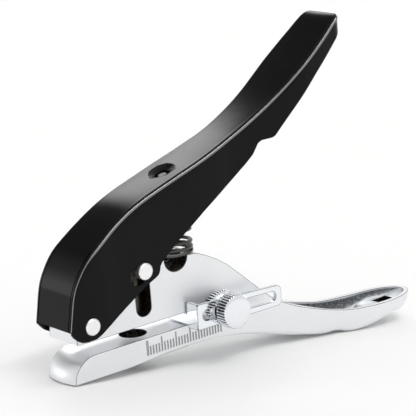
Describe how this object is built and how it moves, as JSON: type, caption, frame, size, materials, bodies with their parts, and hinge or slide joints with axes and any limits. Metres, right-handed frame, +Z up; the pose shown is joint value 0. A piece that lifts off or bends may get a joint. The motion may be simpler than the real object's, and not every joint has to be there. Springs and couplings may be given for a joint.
{
  "type": "single hole punch",
  "caption": "Hand-held lever hole punch: a pressed black handle pivots on a cast chromed base and drives a punch past a ruled jaw with a sliding, screw-clamped edge gauge.",
  "frame": {"origin": "under the centre of the bounding box, on the ground the tool rests on", "axes": "+X from the nose towards the tail, +Y away from the gauge side, +Z up; the tool stands on its nose and on the lobe under its tail"},
  "size_m": [0.1312, 0.0256, 0.0956],
  "materials": {
    "satin_chrome": "satin",
    "polished_chrome": "polished",
    "black_enamel": "gloss",
    "tool_steel": "dark",
    "pin_steel": "satin",
    "spring_steel": "polished"
  },
  "bodies": {
    "frame": {"lower_frame": "satin_chrome", "die_bush": "tool_steel", "pivot_pin": "pin_steel", "spring_seat": "tool_steel", "return_spring": "spring_steel"},
    "handle": {"upper_handle": "black_enamel", "spring_stud": "pin_steel"},
    "punch": {"punch": "tool_steel", "drive_pin": "pin_steel"},
    "gauge": {"gauge_plate": "polished_chrome"},
    "thumb_screw": {"thumb_knob": "polished_chrome", "thumb_screw_shank": "pin_steel"},
    "lock_nut": {"lock_nut": "polished_chrome"}
  },
  "joints": [
    {"name": "handle_pivot", "type": "hinge", "parent": "frame", "child": "handle", "pos_m": [-0.05855, 0.0036, 0.01659], "axis": [0, 1, 0], "range_deg": [0, 16], "stiffness_Nm_per_rad": 2.3, "springref_deg": -8.59, "deforming": ["return_spring"]},
    {"name": "punch_slide", "type": "slide", "parent": "frame", "child": "punch", "axis": [0.1097, 0, -0.994], "range_m": [0, 0.00621]},
    {"name": "gauge_slide", "type": "slide", "parent": "frame", "child": "gauge", "axis": [0.9969, 0, 0.0784], "range_m": [-0.0093, 0.0045]},
    {"name": "thumb_screw_turn", "type": "hinge", "parent": "frame", "child": "thumb_screw", "pos_m": [-0.01418, -0.0094, 0.01566], "axis": [0, -1, 0], "continuous": true},
    {"name": "lock_nut_turn", "type": "hinge", "parent": "frame", "child": "lock_nut", "pos_m": [-0.01418, -0.0044, 0.01566], "axis": [0, -1, 0], "continuous": true}
  ],
  "couplings": [
    {"joint": "punch_slide", "follows": "handle_pivot", "m_per_rad": 0.0222}
  ]
}
